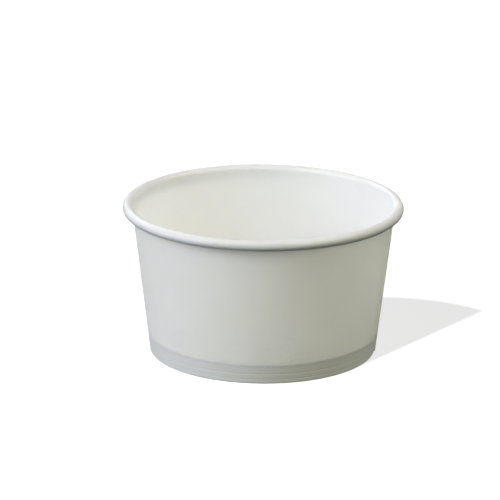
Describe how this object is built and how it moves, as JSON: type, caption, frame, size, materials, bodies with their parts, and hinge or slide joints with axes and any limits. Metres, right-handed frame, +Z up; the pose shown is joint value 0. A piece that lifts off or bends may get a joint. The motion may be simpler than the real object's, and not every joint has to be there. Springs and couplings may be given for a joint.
{
  "type": "paper sundae cup",
  "caption": "Squat tapered paperboard dessert cup with an outward curled rim, a lap-sealed side wall and a recessed base sealed into a folded foot.",
  "frame": {"origin": "centre of the foot plane, on the cup's axis", "axes": "+Z up along the cup's axis, towards the rim; -Y is the front; the lap seam of the side wall is at +X"},
  "size_m": [0.092, 0.092, 0.0503],
  "materials": {
    "wall_board": "satin",
    "base_board": "satin"
  },
  "bodies": {
    "root": {"side_wall": "wall_board", "base_disc": "base_board"}
  },
  "joints": []
}
